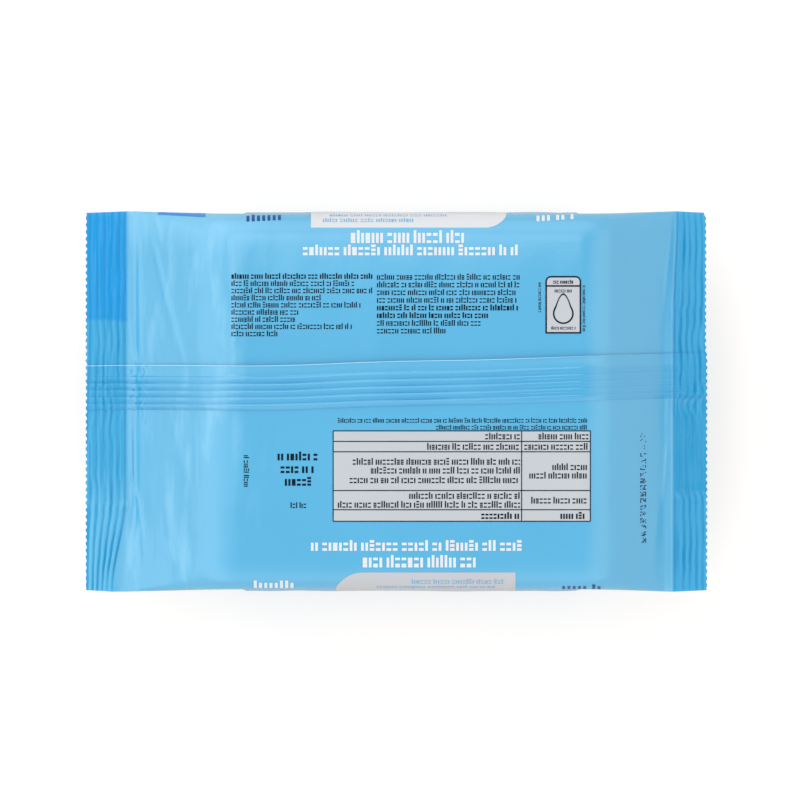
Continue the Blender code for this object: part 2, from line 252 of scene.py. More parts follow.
# Soft creases of the right end
RIGHT_CREASES = (
    ((71.0, 46.0), (69.5, 20.0), 0.12, 0.60),
    ((71.3, 8.0), (70.6, -8.0), 0.10, 0.50),
    ((70.9, -10.0), (69.8, -26.0), 0.22, 0.50),
    ((68.4, -24.0), (66.6, -47.0), 0.24, 1.10),
    ((62.0, 2.0), (50.0, -1.0), 0.06, 0.60),
    ((60.0, 14.5), (69.0, 17.0), 0.10, 0.60),
)


def corner_crinkles(seed):
    """Short sharp crinkles where the left seal's fold meets the back seam."""
    chance = random.Random(seed)
    crinkles = []
    for _ in range(60):
        x = chance.uniform(-70.6, -66.0)
        y = chance.uniform(-4.0, 10.0)
        angle = chance.uniform(-1.3, 1.3)
        reach = chance.uniform(1.0, 3.0)
        end = (x + reach * math.cos(angle), y + reach * math.sin(angle))
        crinkles.append(Crease((x, y), end, chance.uniform(0.07, 0.18), chance.uniform(0.18, 0.38)))
    return crinkles


class Film:
    """Where each place of the wrapped film lies on the filled and sealed pack."""

    def __init__(self, film, seam):
        self.film = film
        self.seam = seam
        self.left_fold = POUCH_LOW.x + film.left_seal
        self.right_fold = POUCH_HIGH.x - film.right_seal
        self.front_z = POUCH_LOW.z
        self.back_z = POUCH_HIGH.z - seam.thickness - seam.lift
        self.middle_z = (self.front_z + self.back_z) / 2
        self.half_body = (self.back_z - self.front_z) / 2
        self.body_half_width = PACK_WIDTH / 2 - film.flare
        creases = [Crease(*crease) for crease in LEFT_CREASES + RIGHT_CREASES]
        self.creases = creases + corner_crinkles(3)

    def share(self, x):
        """Way up the end slope: 0 at the seal's fold, 1 over the stack."""
        left = (x - self.left_fold) / self.film.left_slope
        right = (self.right_fold - x) / self.film.right_slope
        return min(max(min(left, right), 0.0), 1.0)

    def opening(self, x):
        """Half height as a share: eased out of the fold, then straight, then rounded at the top."""
        fold = 0.10 if x < 0 else 0.03
        straight = 0.52
        share = self.share(x)
        gradient = 2 / (1 + straight - fold)
        if share < fold:
            return gradient * share * share / (2 * fold)
        if share < straight:
            return gradient * (share - fold / 2)
        way = (share - straight) / (1 - straight)
        rounded = way - way ** 3 + way ** 4 / 2
        return gradient * (straight - fold / 2 + (1 - straight) * rounded)

    def half_height(self, x):
        """Half height of the pack at one place along it."""
        half_seal = self.film.seal_thickness / 2
        return half_seal + (self.half_body - half_seal) * self.opening(x)

    def seal_way(self, x):
        """Distance out from the seal's fold, the seal's length and its ridge pitch."""
        if x < 0:
            return max(self.left_fold - x, 0.0), self.film.left_seal, self.film.left_pitch
        return max(x - self.right_fold, 0.0), self.film.right_seal, self.film.right_pitch

    def half_width(self, x):
        """Half width of the film."""
        way, seal, _ = self.seal_way(x)
        flare = self.film.flare * (1 - self.opening(x))
        return self.body_half_width + flare - self.film.taper * way / seal

    def corner(self, x):
        """Radius of the long edges."""
        return min(self.film.corner, 0.35 * self.half_height(x))

    def gusset_line(self, x, side):
        """Where the tucked side wall ends inside a pressed end."""
        shift = blend(-0.0026, 0.0003, x / PACK_LENGTH + 0.5)
        return shift + side * (self.half_width(x) - self.half_body)

    def ridge(self, x, y):
        """Rise of the pressed ridge at a place as a share, how strong it is, and the fine threads."""
        way, seal, pitch = self.seal_way(x)
        if way == 0.0:
            return 0.0, 0.0, 0.0
        upper = smooth_step(-MM, MM, y - self.gusset_line(x, 1))
        lower = smooth_step(-MM, MM, self.gusset_line(x, -1) - y)
        middle = 1 - upper - lower
        eased = smooth_step(0.0, pitch, way)
        wander = 0.22 * ripple(y, 0.0, 0.011, 4.0) + 0.10 * ripple(y, 0.0, 0.0035, 9.0)
        wander += 0.35 * middle * ripple(y, way, 0.006, 21.0)
        phase = way / pitch + wander * eased + 0.14 * (upper - lower)
        strength = 0.85 + 0.50 * ripple(y, way * 3, 0.009, 2.0)
        if x < 0:
            strength -= 0.50 * upper + 0.35 * middle
        else:
            phase += eased * (0.22 * ripple(y, way * 2.5, 0.014, 51.0) - 0.35 * upper - 0.3 * lower)
            phase += 0.7 * math.exp(-((y / MM + 1.0) / 2.2) ** 2) * eased
        wave = 1 - (0.5 + 0.5 * math.cos(2 * math.pi * phase)) ** 1.8
        ridges = int(seal / pitch)
        fade = 1 - smooth_step(ridges - 0.15, ridges + 0.25, phase)
        threads = ripple(way * 22, y, 0.016, 31.0) * (0.28 + 0.40 * middle) * eased
        rise = wave * fade
        if x > 0:
            rise *= 1 - 0.65 * smooth_step(1.5 * MM, 4.0 * MM, -y) * (1 - lower)
        return rise, max(strength, 0.1), threads

    def crimp(self, x, y):
        """Height of the pressed ridges of the end seals, wavy and uneven along each ridge."""
        rise, strength, threads = self.ridge(x, y)
        return self.film.ridge * (strength * rise + threads)

    def sealed(self, x):
        """Share of the sealed film's colour: 1 in a seal and 0 over the wipes."""
        inside = min(x - self.left_fold, self.right_fold - x)
        return 1 - smooth_step(-0.6 * MM, 1.0 * MM, inside)

    def pressed(self, x, y):
        """How deep the film is pressed at a place: 1 in the grooves of a seal, where the colour takes painted
        shade.
        """
        rise, strength, threads = self.ridge(x, y)
        if strength == 0.0:
            return 0.0
        return min(max((1 - rise) * min(strength, 1.0) - 0.5 * threads, 0.0), 1.0)

    def layer_step(self, x, y):
        """Extra thickness of a pressed end where the tucked side wall lies inside."""
        half_step = 0.4 * MM
        wobble = 0.7 * MM * ripple(x, 0.0, 0.004, 17.0)
        low = self.gusset_line(x, -1) + wobble
        high = self.gusset_line(x, 1) - wobble
        steps = 1 - smooth_step(low - half_step, low + half_step, y)
        steps += smooth_step(high - half_step, high + half_step, y)
        return self.film.layer_step * steps * (1 - smooth_step(0.0, 0.15, self.share(x)))

    def gather(self, x, y):
        """Soft pleats that run up the end slopes."""
        share = self.share(x)
        if share in (0.0, 1.0):
            return 0.0
        fade = math.sin(math.pi * share) ** 2 * self.edge_fade(x, y)
        pleats = math.cos(2 * math.pi * y / 0.015 + math.copysign(1.0, x))
        fine = ripple(x, y * 4, 0.016, 6.0)
        return (0.20 * MM * pleats + 0.20 * MM * fine) * fade

    def edge_fade(self, x, y):
        """Share near 1 over the middle that falls to 0 at the long edges."""
        return 1 - min(abs(y) / self.half_width(x), 1.0) ** 6

    def throat(self, x, y):
        """Soft creases beside the left seal's fold, uneven along it, each lower than the last."""
        pitch = 2.6 * MM
        reach = 2 * pitch
        distance = x - self.left_fold
        if not 0.0 < distance < reach:
            return 0.0
        wander = 0.25 * ripple(y, 0.0, 0.013, 23.0)
        wave = 0.5 - 0.5 * math.cos(2 * math.pi * (distance / pitch + wander * distance / reach))
        strength = 0.7 + 0.6 * ripple(y, distance, 0.012, 27.0)
        fade = (1 - distance / reach) * self.edge_fade(x, y)
        return self.film.throat * strength * wave * fade

    def drifted(self, point):
        """Move a point along the pack as the seals' ridges drift towards the cut edge."""
        edge = PACK_WIDTH / 2
        if point.x < 0:
            drift = -self.film.left_drift * smooth_step(26 * MM, edge, -point.y)
            outwards = (self.left_fold - point.x) / self.film.left_seal
            inwards = (point.x - self.left_fold) / (12 * MM)
        else:
            drift = self.film.right_drift * smooth_step(18 * MM, edge, point.y)
            outwards = (point.x - self.right_fold) / self.film.right_seal
            inwards = (self.right_fold - point.x) / (12 * MM)
        point.x += drift * max(1 - max(outwards, inwards), 0.0)
        return point

    def slack(self, x, y):
        """Broad unevenness of loose film, and every crease."""
        share = self.share(x)
        calm = smooth_step(0.0, 0.25, share)
        slope = 1 - smooth_step(0.85, 1.15, share + 0.15 * (x > 0))
        height = 0.12 * MM * ripple(x, y, 0.022, 1.0) + 0.05 * MM * ripple(x, y, 0.009, 5.0)
        height += 0.10 * MM * slope * ripple(x * 1.6, y * 0.8, 0.011, 41.0)
        height *= calm
        shoulder = math.exp(-((x - self.left_fold - self.film.left_slope) / (14 * MM)) ** 2)
        height += 0.30 * MM * shoulder * ripple(x, y * 0.7, 0.019, 61.0) * self.edge_fade(x, y)
        for crease in self.creases:
            height += crease.height_at(x, y)
        return height

    def back(self, x, y):
        """Height of the film's back."""
        crown = self.film.crown * self.opening(x) * (y / self.body_half_width) ** 4
        height = self.middle_z + self.half_height(x) - crown
        folds = self.gather(x, y) + self.throat(x, y) + self.slack(x, y)
        return height + self.crimp(x, y) + self.layer_step(x, y) + folds

    def front(self, x, y):
        """Height of the film's front, flat where the pack lies on it."""
        ridge = self.crimp(x, y) if self.share(x) == 0.0 else 0.0
        return self.middle_z - self.half_height(x) + ridge - self.layer_step(x, y)

    def edge(self, x, turn, side, up):
        """Point on a long edge's soft corner, turn 0 at the flat and 1 at the side wall."""
        radius = self.corner(x)
        angle = min(turn, 1.0) * math.pi / 2
        across = math.sin(angle) ** 0.8
        down = 1 - max(math.cos(angle), 0.0) ** 0.8
        y = side * (self.half_width(x) - radius * (1 - across))
        surface = self.back(x, y) if up > 0 else self.front(x, y)
        return Vector((x, y, surface - up * radius * down))

    def wall(self, x, drop, side):
        """Point on a side wall, drop 0 at its upper edge, 1 at its tuck and 2 at its lower edge."""
        upper = self.edge(x, 1.0, side, 1)
        lower = self.edge(x, 1.0, side, -1)
        nearness = 1 - abs(drop - 1)
        edge = upper if drop < 1 else lower
        middle_z = (upper.z + lower.z) / 2
        share = self.share(x)
        if share == 0.0:
            tuck = 0.15 * MM
        else:
            reach = self.half_width(x) - side * self.gusset_line(x, side)
            tuck = reach * math.sqrt(max(1 - self.opening(x) ** 2, 0.0))
        bow = math.sin(nearness * math.pi / 2)
        swell = self.film.bulge * bow * smooth_step(0.9, 1.0, share)
        dent = 0.25 * MM * ripple(x, edge.z + drop * 0.02, 0.012, 8.0 + side) * bow
        dent *= smooth_step(0.2, 0.6, share)
        y = edge.y - side * (tuck * nearness - swell - dent)
        return Vector((x, y, blend(edge.z, middle_z, nearness)))

    def on_back(self, x, across):
        """Point at a distance across the wrap from the pack's middle line, round the long edge."""
        side = 1 if across >= 0 else -1
        radius = self.corner(x)
        flat = self.half_width(x) - radius
        away = abs(across)
        if away <= flat:
            return Vector((x, across, self.back(x, across)))
        turn = (away - flat) / (radius * math.pi / 2)
        if turn <= 1.0:
            return self.edge(x, turn, side, 1)
        upper = self.edge(x, 1.0, side, 1)
        depth = away - flat - radius * math.pi / 2
        half_wall = max(self.half_body - radius, MM)
        return self.wall(x, min(depth / half_wall, 2.0), side)


# Meshes


def finish_mesh(name, shape, material):
    """Turn a bmesh into a finished object that rides on the pack."""
    mesh = bpy.data.meshes.new(name)
    shape.to_mesh(mesh)
    shape.free()
    mesh.materials.append(material)
    mesh.shade_smooth()
    mesh.set_sharp_from_angle(angle=SHARP_ANGLE)
    piece = bpy.data.objects.new(name, mesh)
    bpy.context.scene.collection.objects.link(piece)
    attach(piece, "root")
    return piece


def spread(start, end, steps):
    """Evenly spaced values from start to end, without the last one."""
    return [start + (end - start) * index / steps for index in range(steps)]


def stations(film):
    """Places along the pack, close together on the ridges and wider over the stack."""
    throat = 5.5 * MM
    marks = (
        (POUCH_LOW.x, 76),
        (film.left_fold, 40),
        (film.left_fold + throat, 62),
        (film.left_fold + film.film.left_slope, 52),
        (film.right_fold - film.film.right_slope, 34),
        (film.right_fold - throat, 24),
        (film.right_fold, 60),
        (POUCH_HIGH.x, 0),
    )
    places = []
    for (start, steps), (end, _) in zip(marks, marks[1:]):
        places += spread(start, end, steps)
    return places + [POUCH_HIGH.x]


def cut_offset(film, x, y):
    """How far the zig-zag cut stands back from the end of the pack at a place across it."""
    tooth = film.tooth_pitch / 2
    way = abs((y / tooth) % 2 - 1)
    offset = film.tooth_depth * (1 - way)
    if x > 0:
        offset += film.misfeed * smooth_step(-2 * tooth, 2 * tooth, y - 0.0128)
        offset += 0.75 * MM * max((y - 47.4 * MM) / (2.1 * MM), 0.0) ** 2
    return offset


def cut_back(film, x, y):
    """Place along the pack, drawn in so that the last millimetres follow the zig-zag cut."""
    reach = 1.0 * MM
    near_left = max(1 - (x - POUCH_LOW.x) / reach, 0.0)
    near_right = max(1 - (POUCH_HIGH.x - x) / reach, 0.0)
    offset = cut_offset(film, x, y)
    return x + offset * near_left - offset * near_right


def film_columns(film):
    """Columns round the wrap: back, side wall, front, side wall. Each is (kind, place, side)."""
    half_tooth = film.film.tooth_pitch / 2
    end_x = POUCH_LOW.x
    edge = film.half_width(end_x) - film.corner(end_x)
    count = int(edge / half_tooth)
    flat = [index * half_tooth for index in range(-count, count + 1)]
    turns = [1 / 3, 2 / 3]
    side = [("upper", turn) for turn in turns]
    side += [("wall", index / 10) for index in range(21)]
    side += [("lower", turn) for turn in reversed(turns)]
    columns = [("back", place, 1) for place in flat]
    columns += [(kind, place, 1) for kind, place in side]
    columns += [("front", place, 1) for place in reversed(flat)]
    columns += [(kind, place, -1) for kind, place in reversed(side)]
    return columns, edge


def squeeze(film, x, y, edge):
    """Spread the outermost columns of a pressed end over the long edge's arc."""
    flat = film.half_width(x) - film.corner(x)
    body_flat = film.body_half_width - film.film.corner
    if abs(y) <= body_flat:
        return y
    arc_end = flat + film.corner(x) * math.pi / 2 * ARC_SPLIT
    share = (abs(y) - body_flat) / (edge - body_flat)
    return math.copysign(blend(body_flat, max(arc_end, body_flat), share), y)


def film_point(film, x, column, edge):
    """Point of the film for one column at one place along the pack."""
    kind, place, side = column
    if kind == "back":
        point = film.on_back(x, squeeze(film, x, place, edge))
    elif kind == "front":
        across = squeeze(film, x, place, edge)
        flat = film.half_width(x) - film.corner(x)
        if abs(across) <= flat:
            point = Vector((x, across, film.front(x, across)))
        else:
            turn = (abs(across) - flat) / (film.corner(x) * math.pi / 2)
            point = film.edge(x, turn, 1 if across > 0 else -1, -1)
    elif kind == "upper":
        point = film.edge(x, blend(ARC_SPLIT, 1.0, place), side, 1)
    elif kind == "lower":
        point = film.edge(x, blend(ARC_SPLIT, 1.0, place), side, -1)
    else:
        point = film.wall(x, place, side)
    point.x = cut_back(film.film, x, point.y)
    return film.drifted(point)


def press_shut(film, point, column):
    """Bring a point of the cut end to the middle, where the pressed layers meet."""
    kind, _, side = column
    if kind == "wall":
        point.y = side * film.half_width(point.x)
    point.z = film.middle_z + film.film.ridge / 4
    return point


def tone_layers(shape):
    """Two values of each point that set the film's tone: how far sealed, and how deep pressed, which lays
    painted shade in the grooves.
    """
    sealed = shape.verts.layers.float.new("sealed")
    return sealed, shape.verts.layers.float.new("pressed")


def build_film(film, material):
    """Closed skin of the whole wrap, from a grid bent round the pack."""
    places = stations(film)
    places = [places[0]] + places + [places[-1]]
    columns, edge = film_columns(film)
    shape = bmesh.new()
    rows = len(places) - 1
    bmesh.ops.create_grid(shape, x_segments=rows, y_segments=len(columns), size=1.0)
    sealed, pressed = tone_layers(shape)
    for vert in shape.verts:
        row = round((vert.co.x + 1) / 2 * rows)
        column = columns[round((vert.co.y + 1) / 2 * len(columns)) % len(columns)]
        point = film_point(film, places[row], column, edge)
        vert[sealed] = film.sealed(places[row])
        vert[pressed] = film.pressed(places[row], point.y)
        if row in (0, rows):
            point = press_shut(film, point, column)
        vert.co = point
    bmesh.ops.remove_doubles(shape, verts=shape.verts, dist=MERGE)
    bmesh.ops.dissolve_degenerate(shape, edges=shape.edges, dist=MERGE)
    bmesh.ops.recalc_face_normals(shape, faces=shape.faces)
    piece = finish_mesh("film", shape, material)
    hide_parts("pouch")
    return piece


def seam_root(seam, x):
    """Place of the seam's fold across the pack, with its slight sag towards the near side."""
    sag = 1.0 * math.exp(-((x / MM + 32) / 26) ** 2) + 0.6 * math.exp(-((x / MM - 22) / 30) ** 2)
    return blend(seam.root_left, seam.root_right, x / PACK_LENGTH + 0.5) - sag * MM


def seam_y(seam, x, distance):
    """Place across the pack of a point of the seam, whose loose edge waves a little."""
    wave = 0.12 * MM * ripple(x, 0.0, 0.03, 14.0) * distance / seam.width
    return seam_root(seam, x) + distance + wave


def seam_loose(seam, distance):
    """Share that rises from 0 to 1 over the seam's loose edge."""
    return smooth_step(seam.width - 2.4 * MM, seam.width, distance)


def rib_shape(phase):
    """Height of one rib as a share: rounded towards the fold and steep towards the loose edge."""
    top = 0.72
    way = phase % 1.0
    if way < top:
        return math.sin(math.pi / 2 * way / top)
    return math.cos(math.pi / 2 * (way - top) / (1 - top))


def seam_rib(film, x, distance):
    """Height of the seam's ribs at a place as a share, or None beyond the ribs."""
    phase = (distance + 0.13 * MM) / film.seam.pitch
    if not 0.0 <= phase <= film.seam.ribs:
        return None
    doubled = 0.6 * smooth_step(0.015, 0.040, x)
    return blend(rib_shape(phase), 0.6 * rib_shape(2 * phase), doubled)


def seam_groove(film, x, distance):
    """How deep the seam is pressed at a place: 1 in the grooves between its ribs, where the colour takes painted
    shade.
    """
    rib = seam_rib(film, x, distance)
    if rib is None:
        return 0.0
    strength = 0.75 + 0.5 * ripple(x, distance * 3, 0.02, 3.0)
    fade = 1 - 0.45 * smooth_step(0.018, 0.050, x)
    return min(1.3 * max(1 - rib, 0.0) ** 0.6 * strength * fade, 1.0)


def seam_height(film, x, distance):
    """Height of the folded seam over the film at a distance from its fold."""
    seam = film.seam
    closeness = smooth_step(0.0, 0.1, film.share(x))
    thickness = blend(seam.seal_thickness, seam.thickness, closeness)
    rib = seam_rib(film, x, distance) or 0.0
    fade = 1 - 0.75 * smooth_step(0.018, 0.050, x)
    strength = 0.9 + 0.5 * ripple(x, distance * 3, 0.02, 3.0)
    rib *= seam.ridge * blend(0.75, 1.0, closeness) * fade * strength
    lift = seam.lift * seam_loose(seam, distance) * smooth_step(0.0, 0.3, film.share(x))
    lift *= 0.75 + 0.5 * ripple(x, 0.0, 0.018, 11.0)
    fine = 0.03 * MM * ripple(x, distance * 6, 0.012, 12.0)
    fold = smooth_step(-0.4 * MM, 1.2 * MM, distance)
    return thickness * fold + max(rib, lift) + fine * fold


def build_seam(film, material):
    """Ribbon of the folded back seam, its under side just inside the film."""
    seam = film.seam
    across = 104
    total = 2 * across
    places = stations(film)
    rows = len(places) - 1
    shape = bmesh.new()
    bmesh.ops.create_grid(shape, x_segments=rows, y_segments=total, size=1.0)
    sealed, pressed = tone_layers(shape)
    for vert in shape.verts:
        row = round((vert.co.x + 1) / 2 * rows)
        column = round((vert.co.y + 1) / 2 * total) % total
        x = places[row]
        if column <= across:
            distance = seam.width * column / across
            height = seam_height(film, x, distance)
        else:
            distance = seam.width * (1 - (column - across) / across)
            inside = seam_height(film, x, distance) - 0.25 * MM
            height = blend(-0.2 * MM, inside, seam_loose(seam, distance))
        if row in (0, rows):
            height = seam_height(film, x, distance)
        y = seam_y(seam, x, distance)
        vert.co = (cut_back(film.film, x, y), y, film.back(x, y) + height)
        vert[sealed] = film.sealed(x)
        vert[pressed] = max(film.pressed(x, y), seam_groove(film, x, distance))
    bmesh.ops.remove_doubles(shape, verts=shape.verts, dist=MERGE)
    open_edges = [edge for edge in shape.edges if edge.is_boundary]
    bmesh.ops.holes_fill(shape, edges=open_edges, sides=0)
    bmesh.ops.recalc_face_normals(shape, faces=shape.faces)
    return finish_mesh("back_seam", shape, material)


def build_seam_edge(film, material):
    """Pale cut edge of the film along the seam's loose side, partly the edge's own pale colour and partly a
    painted highlight where the edge catches the light.
    """
    seam = film.seam
    places = [x for x in stations(film) if x < 62 * MM]
    shape = bmesh.new()
    rows = len(places) - 1
    bmesh.ops.create_grid(shape, x_segments=rows, y_segments=2, size=1.0)
    for vert in shape.verts:
        x = places[round((vert.co.x + 1) / 2 * rows)]
        # Painted highlight: the pale line narrows towards the right, where the edge catches less light
        width = 0.17 * MM * (1 - 0.8 * smooth_step(20 * MM, 62 * MM, x))
        distance = seam.width - width * (1 - vert.co.y) / 2
        y = seam_y(seam, x, distance)
        height = seam_height(film, x, distance) + 0.03 * MM
        vert.co = (cut_back(film.film, x, y), y, film.back(x, y) + height)
    return finish_mesh("seam_edge", shape, material)


# Print


def add_field(shape, left, right, low, high):
    """Rectangular field of ink in the plane of the wrap, cut finely enough to follow it."""
    columns = max(math.ceil((right - left) / INK_STEP), 1)
    rows = max(math.ceil((high - low) / INK_STEP), 1)
    made = bmesh.ops.create_grid(shape, x_segments=columns, y_segments=rows, size=0.5)
    bmesh.ops.scale(shape, vec=(right - left, high - low, 1.0), verts=made["verts"])
    middle = ((left + right) / 2, (low + high) / 2, 0.0)
    bmesh.ops.translate(shape, vec=middle, verts=made["verts"])
    return made["verts"]


def round_corner(verts, x, y, side_x, side_y, radius):
    """Round one corner of a field by drawing its points in to an arc, given in millimetres."""
    corner_x, corner_y, radius = x * MM, y * MM, radius * MM
    for vert in verts:
        in_x = radius - (corner_x - vert.co.x) * side_x
        in_y = radius - (corner_y - vert.co.y) * side_y
        if in_x <= 0 or in_y <= 0:
            continue
        reach = max(in_x, in_y)
        scale = reach / math.hypot(in_x, in_y)
        vert.co.x = corner_x - side_x * (radius - in_x * scale)
        vert.co.y = corner_y - side_y * (radius - in_y * scale)


def add_marks(shape, left, right, base, height, chance, heavy=False, lean=0.0, plain=False):
    """Row of short strokes and stacked dashes in groups, a plain stand-in for a line of print."""
    stroke = height * (0.25 if heavy else 0.20)
    low_height = height * 0.76
    x = left
    while x < right - stroke:
        for _ in range(chance.randint(2, 9)):
            if x > right - stroke:
                break
            kind = chance.random()
            top = height if chance.random() > 0.68 else low_height
            low = base + (x - left) * lean
            if plain or kind < 0.60:
                width = stroke
                rows = [(low, low + top)]
            elif kind < 0.90:
                width = height * 0.44
                rows = [(low, low + stroke), (low + low_height - stroke, low + low_height)]
            else:
                width = height * 0.42
                gap = (top - 3 * stroke) / 2
                starts = [low + index * (stroke + gap) for index in range(3)]
                rows = [(start, start + stroke) for start in starts]
            for bottom, end in rows:
                add_field(shape, x, min(x + width, right), bottom, end)
            x += width + height * 0.15
        x += height * 0.26


def add_dots(shape, place, cells, pitch, chance):
    """Column of dotted marks down the pack, fainter at its start, as a stand-in for a code."""
    left, top = place
    dot = pitch * 0.80
    for cell in range(cells):
        for row in range(4):
            for column in range(5):
                if chance.random() > min(0.14 + cell * 0.05, 0.56):
                    continue
                x = left + column * pitch
                y = top - (cell * 5.4 + row) * pitch
                add_field(shape, x, x + dot, y - dot, y)


def turn_upright(shape, known, left, middle):
    """Turn the marks made since a count of points a quarter turn and put them in place."""
    shape.verts.ensure_lookup_table()
    made = shape.verts[known:]
    bmesh.ops.rotate(shape, verts=made, cent=(0, 0, 0), matrix=Matrix.Rotation(-math.pi / 2, 3, "Z"))
    bmesh.ops.translate(shape, verts=made, vec=(left, middle, 0))


def wrap_print(film, tree, shape, lift):
    """Lay flat ink on the film: X runs along the pack and Y across the wrap."""
    for vert in shape.verts:
        guess = film.on_back(vert.co.x, vert.co.y)
        place, normal, _, _ = tree.find_nearest(guess)
        vert.co = place + normal * lift


def film_tree(piece):
    """Search tree over the finished film."""
    graph = bpy.context.evaluated_depsgraph_get()
    return BVHTree.FromObject(piece, graph)


# Materials


def new_material(name):
    """Node material with only its output and a Principled shader."""
    material = bpy.data.materials.new(name)
    material.use_nodes = True
    return material, material.node_tree.nodes, material.node_tree.links


def math_node(nodes, links, operation, *values):
    """Math node with sockets or plain numbers as its inputs."""
    node = nodes.new("ShaderNodeMath")
    node.operation = operation
    for index, value in enumerate(values):
        if isinstance(value, bpy.types.NodeSocket):
            links.new(value, node.inputs[index])
        else:
            node.inputs[index].default_value = value
    return node.outputs[0]


def product(nodes, links, first, *others):
    """Product of masks and numbers."""
    for other in others:
        first = math_node(nodes, links, "MULTIPLY", first, other)
    return first


def inverse(nodes, links, mask):
    """Mask that is 1 where the given one is 0."""
    return math_node(nodes, links, "SUBTRACT", 1.0, mask)


def film_grain_group():
    """Node group: fine crinkle and soft streaks of thin film as a normal, and a slow mask."""
    name = "film_grain"
    if name in bpy.data.node_groups:
        return bpy.data.node_groups[name]
    group = bpy.data.node_groups.new(name, "ShaderNodeTree")
    for socket, kind, direction in (
        ("Crinkle", "NodeSocketFloat", "INPUT"),
        ("Streaks", "NodeSocketFloat", "INPUT"),
        ("Normal", "NodeSocketVector", "OUTPUT"),
        ("Variation", "NodeSocketFloat", "OUTPUT"),
    ):
        group.interface.new_socket(socket, in_out=direction, socket_type=kind)
    nodes = group.nodes
    links = group.links
    inputs = nodes.new("NodeGroupInput")
    outputs = nodes.new("NodeGroupOutput")
    place = nodes.new("ShaderNodeTexCoord")
    fine = noise_texture(nodes, 260.0, 3.0)
    broad = noise_texture(nodes, 38.0, 2.0)
    streak = noise_texture(nodes, 420.0, 2.0)
    stretch = nodes.new("ShaderNodeMapping")
    stretch.inputs["Scale"].default_value = (1.0, 0.13, 0.5)
    links.new(place.outputs["Object"], stretch.inputs["Vector"])
    links.new(place.outputs["Object"], fine.inputs["Vector"])
    links.new(place.outputs["Object"], broad.inputs["Vector"])
    links.new(stretch.outputs["Vector"], streak.inputs["Vector"])
    crinkle = nodes.new("ShaderNodeBump")
    crinkle.inputs["Distance"].default_value = 0.0004
    links.new(inputs.outputs["Crinkle"], crinkle.inputs["Strength"])
    links.new(fine.outputs["Fac"], crinkle.inputs["Height"])
    streaks = nodes.new("ShaderNodeBump")
    streaks.inputs["Distance"].default_value = 0.0005
    links.new(inputs.outputs["Streaks"], streaks.inputs["Strength"])
    links.new(streak.outputs["Fac"], streaks.inputs["Height"])
    links.new(crinkle.outputs["Normal"], streaks.inputs["Normal"])
    links.new(streaks.outputs["Normal"], outputs.inputs["Normal"])
    links.new(broad.outputs["Fac"], outputs.inputs["Variation"])
    return group


def attribute_value(nodes, name):
    """Value of a piece's own attribute."""
    attribute = nodes.new("ShaderNodeAttribute")
    attribute.attribute_name = name
    return attribute.outputs["Fac"]


def noise_texture(nodes, scale, detail):
    """Noise texture of one scale."""
    texture = nodes.new("ShaderNodeTexNoise")
    texture.inputs["Scale"].default_value = scale
    texture.inputs["Detail"].default_value = detail
    return texture


def mix_colour(nodes, links, mask, first, second):
    """Mix two colours, each a socket or plain values, by a mask."""
    mix = nodes.new("ShaderNodeMix")
    mix.data_type = "RGBA"
    links.new(mask, mix.inputs["Factor"])
    for socket, value in (("A", first), ("B", second)):
        target = [item for item in mix.inputs if item.name == socket and item.type == "RGBA"][0]
        if isinstance(value, bpy.types.NodeSocket):
            links.new(value, target)
        else:
            target.default_value = (*value, 1.0)
    return [item for item in mix.outputs if item.type == "RGBA"][0]


def range_mask(nodes, links, value, low, high):
    """Mask that eases from 0 at low to 1 at high."""
    node = nodes.new("ShaderNodeMapRange")
    node.interpolation_type = "SMOOTHSTEP"
    links.new(value, node.inputs["Value"])
    node.inputs["From Min"].default_value = low
    node.inputs["From Max"].default_value = high
    return node.outputs["Result"]


def scaled(values, by):
    """Colour made darker or lighter."""
    return tuple(min(value * by, 1.0) for value in values)


